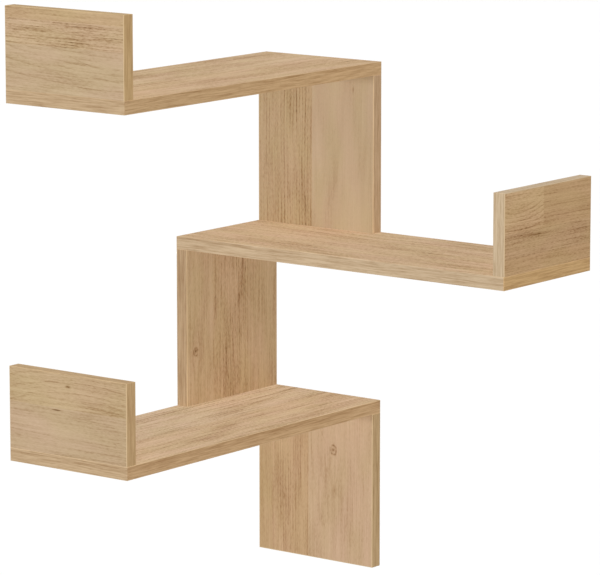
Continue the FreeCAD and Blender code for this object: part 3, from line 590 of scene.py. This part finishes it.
def round_bar(name, radius, bottom, top, sides):
    """Plain bar on the z axis, ready to be shaped in edit mode."""
    bpy.ops.object.select_all(action="DESELECT")
    bpy.ops.mesh.primitive_cylinder_add(vertices=sides, radius=radius, depth=top - bottom,
                                        location=(0, 0, (top + bottom) / 2))
    bar = bpy.context.object
    bar.name = name
    bpy.ops.object.transform_apply()
    bpy.ops.object.mode_set(mode="EDIT")
    return bar


def add_thread(bar, root, crest, bottom, top, pitch):
    """Wind a thread's ridge round a bar and join it on."""
    height, turns = crest - root, (top - bottom) / pitch
    bpy.ops.object.select_all(action="DESELECT")
    bpy.ops.mesh.primitive_circle_add(vertices=3, radius=height * 2 / 3, location=(0, 0, 0))
    ridge = bpy.context.object
    bpy.ops.object.mode_set(mode="EDIT")
    # The triangle is stood up, and then turned until its point is away from the bar.
    bpy.ops.transform.rotate(value=math.pi / 2, orient_axis="X", center_override=(0, 0, 0))
    bpy.ops.transform.rotate(value=math.pi / 2, orient_axis="Y", center_override=(0, 0, 0))
    bpy.ops.transform.translate(value=(root + height / 3, 0, bottom))
    bpy.ops.object.mode_set(mode="OBJECT")
    wind = ridge.modifiers.new("wind", "SCREW")
    wind.angle = turns * math.tau
    wind.screw_offset = top - bottom
    wind.steps = wind.render_steps = round(turns * THREAD_STEPS)
    bpy.ops.object.modifier_apply(modifier=wind.name)
    bpy.ops.object.mode_set(mode="EDIT")
    bpy.ops.mesh.select_all(action="SELECT")
    bpy.ops.mesh.fill_holes(sides=3)
    face_outwards()
    select_only(bar, ridge)
    bpy.ops.object.join()


def sink_cross(bar, top, cross):
    """Sink a driver's cross, narrower at its bottom, in the top of a screw or bolt."""
    width = cross.half_width * 2
    bpy.ops.object.select_all(action="DESELECT")
    bpy.ops.mesh.primitive_cube_add(size=1, location=(0, 0, top))
    cutter = bpy.context.object
    cutter.scale = (width, width, cross.depth * 2)
    bpy.ops.object.transform_apply()
    bpy.ops.object.mode_set(mode="EDIT")
    for side in ((1, 0), (-1, 0), (0, 1), (0, -1)):
        out = Vector((*side, 0))
        aside = Vector((side[1], side[0], 0))
        pick(cutter, "faces", lambda face: face.normal.dot(out) > FACING
             and abs(face.calc_center_median().dot(aside)) < cross.half_width / 2)
        bpy.ops.mesh.extrude_region_move(
            TRANSFORM_OT_translate={"value": out * (cross.reach - cross.half_width)})
    pick(cutter, "verts", lambda point: point.co.z < top)
    bpy.ops.transform.resize(value=(CROSS_TAPER, CROSS_TAPER, 1), center_override=(0, 0, top))
    face_outwards()
    select_only(bar)
    cut = bar.modifiers.new("cut", "BOOLEAN")
    cut.object = cutter
    cut.operation = "DIFFERENCE"
    bpy.ops.object.modifier_apply(modifier=cut.name)
    select_only(cutter)
    bpy.ops.object.delete()
    select_only(bar)


def finish_pattern(piece, material):
    """Close a piece's mesh, smooth it up to its corners and give it its material."""
    select_only(piece)
    bpy.ops.object.mode_set(mode="EDIT")
    bpy.ops.mesh.select_all(action="SELECT")
    bpy.ops.mesh.remove_doubles(threshold=TOUCHING)
    face_outwards()
    bpy.ops.object.shade_smooth_by_angle(angle=SMOOTH_UP_TO)
    piece.data.materials.clear()
    piece.data.materials.append(material)


def set_copies(pattern, places):
    """Copy a piece to its places, each a node of the frame with spots and a turn, and delete it."""
    for node_name, spots, turn in places:
        for number, spot in enumerate(spots, 1):
            select_only(pattern)
            bpy.ops.object.duplicate()
            piece = bpy.context.object
            piece.name = f"{node_name}_{number}"
            piece.data.name = piece.name
            piece.location = spot
            piece.rotation_euler = turn
            bpy.ops.object.transform_apply()
            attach(piece, "root")
            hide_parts(node_name)
    select_only(pattern)
    bpy.ops.object.delete()


def pair_spots(node_name, radius, height):
    """The axes of a joint's two like pieces, at a height above the node's lowest point."""
    low, high = (Vector(corner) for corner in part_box(node_name))
    inset = Vector((radius, radius, 0))
    first, second = low + inset, high - inset
    first.z = second.z = low.z + height
    return [first, second]


class OakPrintLook(PropertyGroup):
    """The print on the boards' faces."""
    plain_shade: StringProperty(
        name="Plain Shade", description="Shade of the quiet wood on its stave", default="#EDE9E4")
    light_shade: StringProperty(
        name="Light Shade", description="Shade of the palest streaks", default="#FFFFFF")
    dark_shade: StringProperty(
        name="Dark Shade", description="Shade of the growth lines", default="#CDBFAF")
    knot_shade: StringProperty(
        name="Knot Shade", description="Shade of knots and short dark marks", default="#8C7A60")
    yellow_tint: StringProperty(
        name="Yellow Tint", description="Tint of the print's yellower patches", default="#FDFFF9")
    pink_tint: StringProperty(
        name="Pink Tint", description="Tint of the print's pinker patches", default="#FFFDFE")
    brightness: FloatProperty(
        name="Brightness", description="Factor that brings the shaded print to its colours", default=1.15)
    fibre_width: FloatProperty(
        name="Fibre Width", description="Usual width of a fibre streak, in mm", default=1.7)
    band_width: FloatProperty(
        name="Band Width", description="Usual width of a broad streak, in mm", default=9.0)
    fleck_width: FloatProperty(
        name="Fleck Width", description="Usual width of a pale or dark fleck, in mm", default=1.2)
    pore_width: FloatProperty(
        name="Pore Width", description="Width of a printed pore, in mm", default=1.0)
    pore_length: FloatProperty(
        name="Pore Length", description="Length of a printed pore, in mm", default=5.0)
    sway: FloatProperty(
        name="Sway", description="How far the grain wanders sideways, in mm", default=8.0)
    sway_width: FloatProperty(
        name="Sway Width", description="Distance over which the grain wanders, in mm", default=70.0)
    roughness: FloatProperty(
        name="Roughness", description="Roughness of the film between the pores", default=0.86)
    sheen: FloatProperty(name="Specular Level", description="Strength of the film's gloss", default=0.05)
    board_thickness: FloatProperty(
        name="Board Thickness", description="Thickness of a faced board, in mm", default=18.0)
    film: FloatProperty(
        name="Film Thickness", description="Depth to which the print shows in a hole, in mm",
        default=0.25)


class BandLook(PropertyGroup):
    """The glued bands on the boards' edges."""
    light_shade: StringProperty(
        name="Light Shade", description="Shade of the band's pale streaks", default="#FFFFFF")
    dark_shade: StringProperty(
        name="Dark Shade", description="Shade of the band's dark streaks", default="#CDBFAF")
    brightness: FloatProperty(
        name="Brightness", description="Factor that brings the shaded band to its colour", default=1.12)
    # Colour of the cut arris, which also paints a highlight along it.
    cut_rim_and_highlight_colour: StringProperty(
        name="Cut Rim", description="Colour of the band where its arris was cut", default="#D4BD99")
    grain_width: FloatProperty(
        name="Grain Width", description="Usual width of a streak on the band, in mm", default=1.6)
    thickness: FloatProperty(
        name="Band Thickness", description="Thickness of the band, in mm", default=1.0)
    rim: FloatProperty(
        name="Rim Width", description="Width of the pale rim along each arris, in mm", default=0.6)
    roughness: FloatProperty(name="Roughness", description="Roughness of the band", default=0.75)
    sheen: FloatProperty(name="Specular Level", description="Strength of the band's gloss", default=0.2)


class FittingSizes(PropertyGroup):
    """The joints' and hangers' small pieces."""
    bolt_pitch: FloatProperty(
        name="Bolt Pitch", description="Pitch of a cam bolt's thread", default=1.9 * MM, unit="LENGTH")
    bolt_core: FloatProperty(
        name="Bolt Core", description="Radius of a cam bolt under its thread", default=1.7 * MM,
        unit="LENGTH")
    bolt_thread: FloatProperty(
        name="Bolt Thread", description="Radius of a cam bolt's thread", default=2.5 * MM, unit="LENGTH")
    bolt_shank: FloatProperty(
        name="Bolt Shank", description="Radius of a cam bolt's shank", default=3.5 * MM, unit="LENGTH")
    bolt_neck: FloatProperty(
        name="Bolt Neck", description="Radius of a cam bolt's neck", default=2.0 * MM, unit="LENGTH")
    bolt_head: FloatProperty(
        name="Bolt Head", description="Radius of a cam bolt's head", default=3.4 * MM, unit="LENGTH")
    dowel_radius: FloatProperty(
        name="Dowel Radius", description="Radius of a dowel over its flutes", default=3.99 * MM,
        unit="LENGTH")
    dowel_flutes: IntProperty(
        name="Dowel Flutes", description="Number of flutes round a dowel", default=20)
    flute_depth: FloatProperty(
        name="Flute Depth", description="Depth of a dowel's flutes", default=0.45 * MM, unit="LENGTH")
    screw_pitch: FloatProperty(
        name="Screw Pitch", description="Pitch of a hanger screw's thread", default=1.35 * MM,
        unit="LENGTH")
    screw_core: FloatProperty(
        name="Screw Core", description="Radius of a hanger screw under its thread", default=1.15 * MM,
        unit="LENGTH")
    screw_thread: FloatProperty(
        name="Screw Thread", description="Radius of a hanger screw's thread", default=1.75 * MM,
        unit="LENGTH")
    screw_head: FloatProperty(
        name="Screw Head", description="Radius of a hanger screw's head", default=3.4 * MM,
        unit="LENGTH")


class Studio(PropertyGroup):
    """Camera, lamps and floor."""
    camera_place: FloatVectorProperty(
        name="Camera Place", description="Where the camera stands", default=(3.41194, -4.34515, 1.34105),
        subtype="TRANSLATION", unit="LENGTH")
    camera_turn: FloatProperty(
        name="Camera Turn", description="Angle from straight at the right wall to the camera's view",
        default=math.radians(37.6541), subtype="ANGLE")
    camera_drop: FloatProperty(
        name="Camera Drop", description="Angle by which the camera looks down",
        default=math.radians(9.9398), subtype="ANGLE")
    lens: FloatProperty(name="Lens", description="Focal length on a sensor 36 mm wide", default=238.363)
    floor_drop: FloatProperty(
        name="Floor Drop", description="Height at which the shelf hangs above the floor", default=1.2,
        unit="LENGTH")
    floor_size: FloatProperty(
        name="Floor Size", description="Length of the floor's sides", default=120.0, unit="LENGTH")
    sky: FloatProperty(name="Sky", description="Level of the light from all round", default=0.22)
    mirrored: FloatProperty(
        name="Mirrored Surround", description="Level of the surround that metal mirrors", default=0.6)
    key: FloatProperty(
        name="Key Lamp", description="Level of the lamp in front of the right wall", default=0.4)
    fill: FloatProperty(
        name="Fill Lamp", description="Level of the lamp between both walls", default=0.7)
    rear: FloatProperty(
        name="Rear Lamp", description="Level of the lamp behind the walls' corner", default=0.5)
    overhead: FloatProperty(
        name="Overhead Lamp", description="Level of the shadowless lamp above", default=0.78)
    softness: FloatProperty(
        name="Softness", description="Angle across which each lamp is seen", default=math.radians(2),
        subtype="ANGLE")


class CORNERSHELF_OT_face_boards(Operator):
    """Press the printed oak film on all boards"""
    bl_idname = "cornershelf.face_boards"
    bl_label = "Face the Boards"

    def execute(self, context):
        for name in BOARDS:
            dress(name, printed_oak(name))
        return {"FINISHED"}


class CORNERSHELF_OT_band_edges(Operator):
    """Glue the bands on the boards' edges"""
    bl_idname = "cornershelf.band_edges"
    bl_label = "Band the Edges"

    def execute(self, context):
        for name in BOARDS:
            dress(f"{name}_edge_bands", edge_band(name))
        return {"FINISHED"}


class CORNERSHELF_OT_finish_fittings(Operator):
    """Give the cams, hanger plates and cover caps their metals and plastic"""
    bl_idname = "cornershelf.finish_fittings"
    bl_label = "Finish the Fittings"

    def execute(self, context):
        zinc, cap = cast_zinc(), moulded_cap()
        plate = plated_steel("Steel sheet, stamped and zinc plated", "#C9CCCE", "#A9ADB0",
                             roughness=0.34, mark_width=0.3, mark_length=9)
        for owners, fitting, material in (
                (JOINTS, "cam_locks", zinc), (UPRIGHTS, "hanger_plates", plate),
                (END_PANELS, "cover_caps", cap)):
            for owner in owners:
                dress(f"{owner}_{fitting}", material)
        return {"FINISHED"}


class CORNERSHELF_OT_make_cam_bolts(Operator):
    """Turn the threaded cam bolts and set two in each joint"""
    bl_idname = "cornershelf.make_cam_bolts"
    bl_label = "Make the Cam Bolts"

    def execute(self, context):
        sizes = context.scene.fitting_sizes
        core, shank, neck, head = sizes.bolt_core, sizes.bolt_shank, sizes.bolt_neck, sizes.bolt_head
        bolt = round_bar("cam_bolt", core, BOLT_CORE, BOLT_SHANK, BAR_SIDES)
        draw_out(bolt, -1, [(BOLT_CORE, core), (BOLT_TIP, core * BOLT_TIP_SHARE)])
        draw_out(bolt, 1, [
            (BOLT_SHANK, core), (BOLT_SHANK, shank - SHANK_EDGE), (BOLT_SHANK + SHANK_EDGE, shank),
            (BOLT_NECK - SHANK_EDGE, shank), (BOLT_NECK, shank - SHANK_EDGE),
            (BOLT_NECK, neck + NECK_EDGE), (BOLT_NECK + NECK_EDGE, neck),
            (BOLT_HEAD - NECK_EDGE, neck), (BOLT_HEAD, neck + NECK_EDGE),
            (BOLT_HEAD, head - NECK_EDGE), (BOLT_HEAD + NECK_EDGE, head),
            (BOLT_TOP - HEAD_EDGE, head), (BOLT_TOP, head - HEAD_EDGE)])
        bpy.ops.object.mode_set(mode="OBJECT")
        sink_cross(bolt, BOLT_TOP, BOLT_CROSS)
        add_thread(bolt, core - THREAD_FOOT, sizes.bolt_thread, *BOLT_THREAD, sizes.bolt_pitch)
        finish_pattern(bolt, plated_steel("Steel, cold headed and zinc plated", "#C6C4BC", "#A3A098",
                                          roughness=0.3, mark_width=0.5, mark_length=0.5))
        places = []
        for joint in JOINTS:
            node = f"{joint}_cam_bolts"
            hangs = joint.endswith("_top")
            spots = pair_spots(node, BOLT_SEAT, BOLT_TOP if hangs else -BOLT_TIP)
            places.append((node, spots, (math.pi if hangs else 0, 0, 0)))
        set_copies(bolt, places)
        return {"FINISHED"}


class CORNERSHELF_OT_make_dowels(Operator):
    """Turn the fluted dowels and set two in each joint"""
    bl_idname = "cornershelf.make_dowels"
    bl_label = "Make the Dowels"

    def execute(self, context):
        sizes = context.scene.fitting_sizes
        radius, sides = sizes.dowel_radius, sizes.dowel_flutes * FLUTE_SIDES
        low, high = DOWEL_EDGE, DOWEL_LENGTH - DOWEL_EDGE
        dowel = round_bar("dowel", radius, low, high, sides)
        pick(dowel, "verts", lambda point: round(
            math.atan2(point.co.y, point.co.x) / math.tau * sides) % FLUTE_SIDES == 0)
        share = 1 - sizes.flute_depth / radius
        bpy.ops.transform.resize(value=(share, share, 1), center_override=(0, 0, 0))
        draw_out(dowel, 1, [(high, radius), (DOWEL_LENGTH, radius - DOWEL_EDGE)])
        draw_out(dowel, -1, [(low, radius), (0.0, radius - DOWEL_EDGE)])
        bpy.ops.object.mode_set(mode="OBJECT")
        finish_pattern(dowel, turned_beech())
        nodes = [f"{joint}_dowels" for joint in JOINTS]
        set_copies(dowel, [(node, pair_spots(node, DOWEL_SEAT, 0.0), (0, 0, 0))
                                          for node in nodes])
        return {"FINISHED"}


class CORNERSHELF_OT_make_hanger_screws(Operator):
    """Make the countersunk hanger screws and set four in each upright"""
    bl_idname = "cornershelf.make_hanger_screws"
    bl_label = "Make the Hanger Screws"

    def execute(self, context):
        sizes = context.scene.fitting_sizes
        core, thread, head = sizes.screw_core, sizes.screw_thread, sizes.screw_head
        screw = round_bar("hanger_screw", core, SCREW_CORE, SCREW_NECK, BAR_SIDES)
        draw_out(screw, -1, [(SCREW_CORE, core), (SCREW_TIP, SCREW_TIP_RADIUS)])
        draw_out(screw, 1, [(SCREW_NECK, core), (SCREW_CONE, thread), (0.0, head)])
        bpy.ops.object.mode_set(mode="OBJECT")
        sink_cross(screw, 0.0, SCREW_CROSS)
        add_thread(screw, core - THREAD_FOOT, thread, *SCREW_THREAD, sizes.screw_pitch)
        finish_pattern(screw, plated_steel("Steel, thread rolled and zinc plated", "#CFCFC9", "#A8A8A2",
                                           roughness=0.26, mark_width=0.5, mark_length=0.5))
        places = []
        for upright in UPRIGHTS:
            node = f"{upright}_hanger_screws"
            low, high = (Vector(corner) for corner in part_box(node))
            on_left_wall = high.x - low.x < high.y - low.y
            inset = Vector((SCREW_SEAT, SCREW_SEAT, SCREW_SEAT))
            low, high = low + inset, high - inset
            sides = (low.y, high.y) if on_left_wall else (low.x, high.x)
            spots = [(0, side, height) if on_left_wall else (side, 0, height)
                     for side in sides for height in (low.z, high.z)]
            turn = (0, -math.pi / 2, 0) if on_left_wall else (-math.pi / 2, 0, 0)
            places.append((node, spots, turn))
        set_copies(screw, places)
        return {"FINISHED"}


def painted_floor():
    """Emulsion paint, rolled on a floor: even, matt and white.

    It shows as white, throws less light back up at the shelf, and can be seen through from below.
    """
    material, add = new_material("Matt white painted floor")
    rays = add("LightPath")
    seen = add("Math MAXIMUM", [rays.outputs["Is Camera Ray"], rays.outputs["Is Glossy Ray"]])
    seen = add("Math MAXIMUM", [seen, rays.outputs["Is Transmission Ray"]])
    shade = add("Mix RGBA", [seen, linear("#989898"), linear("#FFFFFF")])
    paint = add("BsdfDiffuse", [shade])
    under = add("NewGeometry")
    both = add("MixShader", [under.outputs["Backfacing"], paint, add("BsdfTransparent")])
    add("OutputMaterial", {"Surface": both})
    return material


def white_surround(studio):
    """World that shows as white, looks dimmer in metal and lights the shelf from all round."""
    world = bpy.data.worlds.new("Plain white surround")
    world.use_nodes = True
    world.node_tree.nodes.clear()
    add = partial(add_node, world.node_tree)
    rays = add("LightPath")
    unseen = add("Mix", [rays.outputs["Is Glossy Ray"], studio.sky, studio.mirrored])
    strength = add("Mix", [rays.outputs["Is Camera Ray"], unseen, 1.0])
    sky = add("Background", [linear("#FFFFFF"), strength])
    add("OutputWorld", {"Surface": sky})
    return world


class CORNERSHELF_OT_set_stage(Operator):
    """Set the floor, lamps, background and camera"""
    bl_idname = "cornershelf.set_stage"
    bl_label = "Set the Stage"

    def execute(self, context):
        studio = context.scene.studio
        bpy.ops.object.select_all(action="DESELECT")
        bpy.ops.mesh.primitive_plane_add(size=studio.floor_size, location=(0, 0, -studio.floor_drop))
        floor = context.object
        floor.name = "studio_floor"
        floor.visible_shadow = False
        floor.data.materials.append(painted_floor())
        context.scene.world = white_surround(studio)

        # A sun of strength pi shows a face that is turned to it in the colour that is written.
        lamps = {}
        for name, (towards, colour) in LAMPS.items():
            turn = Vector(towards).to_track_quat("Z", "Y").to_euler()
            bpy.ops.object.light_add(type="SUN", rotation=turn)
            lamp = lamps[name] = context.object
            lamp.name = f"{name}_lamp"
            lamp.data.energy = getattr(studio, name) * math.pi
            lamp.data.angle = studio.softness
            lamp.data.color = linear(colour)[:3]
        lamps["rear"].visible_glossy = False
        lamps["overhead"].data.use_shadow = False

        camera = bpy.data.cameras.new("camera")
        camera.lens = studio.lens
        camera.sensor_width = SENSOR_WIDTH
        camera.clip_end = studio.floor_size
        holder = bpy.data.objects.new("camera", camera)
        context.scene.collection.objects.link(holder)
        holder.location = studio.camera_place
        holder.rotation_euler = (math.pi / 2 - studio.camera_drop, 0, studio.camera_turn)
        context.scene.camera = holder
        context.scene.view_settings.view_transform = "Standard"
        return {"FINISHED"}


class CORNERSHELF_PT_looks(Panel):
    """Steps and values of the shelf's looks"""
    bl_label = "Corner Shelf"
    bl_idname = "CORNERSHELF_PT_looks"
    bl_space_type = "VIEW_3D"
    bl_region_type = "UI"
    bl_category = "Corner Shelf"

    def draw(self, context):
        for step in STEPS:
            self.layout.operator(step.bl_idname)
        for group in (getattr(context.scene, name) for name in GROUPS):
            box = self.layout.box()
            for name in group.__annotations__:
                box.prop(group, name)


STEPS = (CORNERSHELF_OT_face_boards, CORNERSHELF_OT_band_edges, CORNERSHELF_OT_finish_fittings,
         CORNERSHELF_OT_make_cam_bolts, CORNERSHELF_OT_make_dowels, CORNERSHELF_OT_make_hanger_screws,
         CORNERSHELF_OT_set_stage)
GROUPS = {"oak_print": OakPrintLook, "band_look": BandLook, "fitting_sizes": FittingSizes,
          "studio": Studio}
CLASSES = (*GROUPS.values(), *STEPS, CORNERSHELF_PT_looks)


def register():
    """Add the classes and the scene's groups of values."""
    for kind in CLASSES:
        bpy.utils.register_class(kind)
    for name, group in GROUPS.items():
        setattr(bpy.types.Scene, name, PointerProperty(type=group))


def unregister():
    """Take the groups and classes away again."""
    for name in GROUPS:
        delattr(bpy.types.Scene, name)
    for kind in reversed(CLASSES):
        bpy.utils.unregister_class(kind)


def main():
    """Run every step in order."""
    register()
    bpy.ops.cornershelf.face_boards()
    bpy.ops.cornershelf.band_edges()
    bpy.ops.cornershelf.finish_fittings()
    bpy.ops.cornershelf.make_cam_bolts()
    bpy.ops.cornershelf.make_dowels()
    bpy.ops.cornershelf.make_hanger_screws()
    bpy.ops.cornershelf.set_stage()


if __name__ == "__main__":
    main()
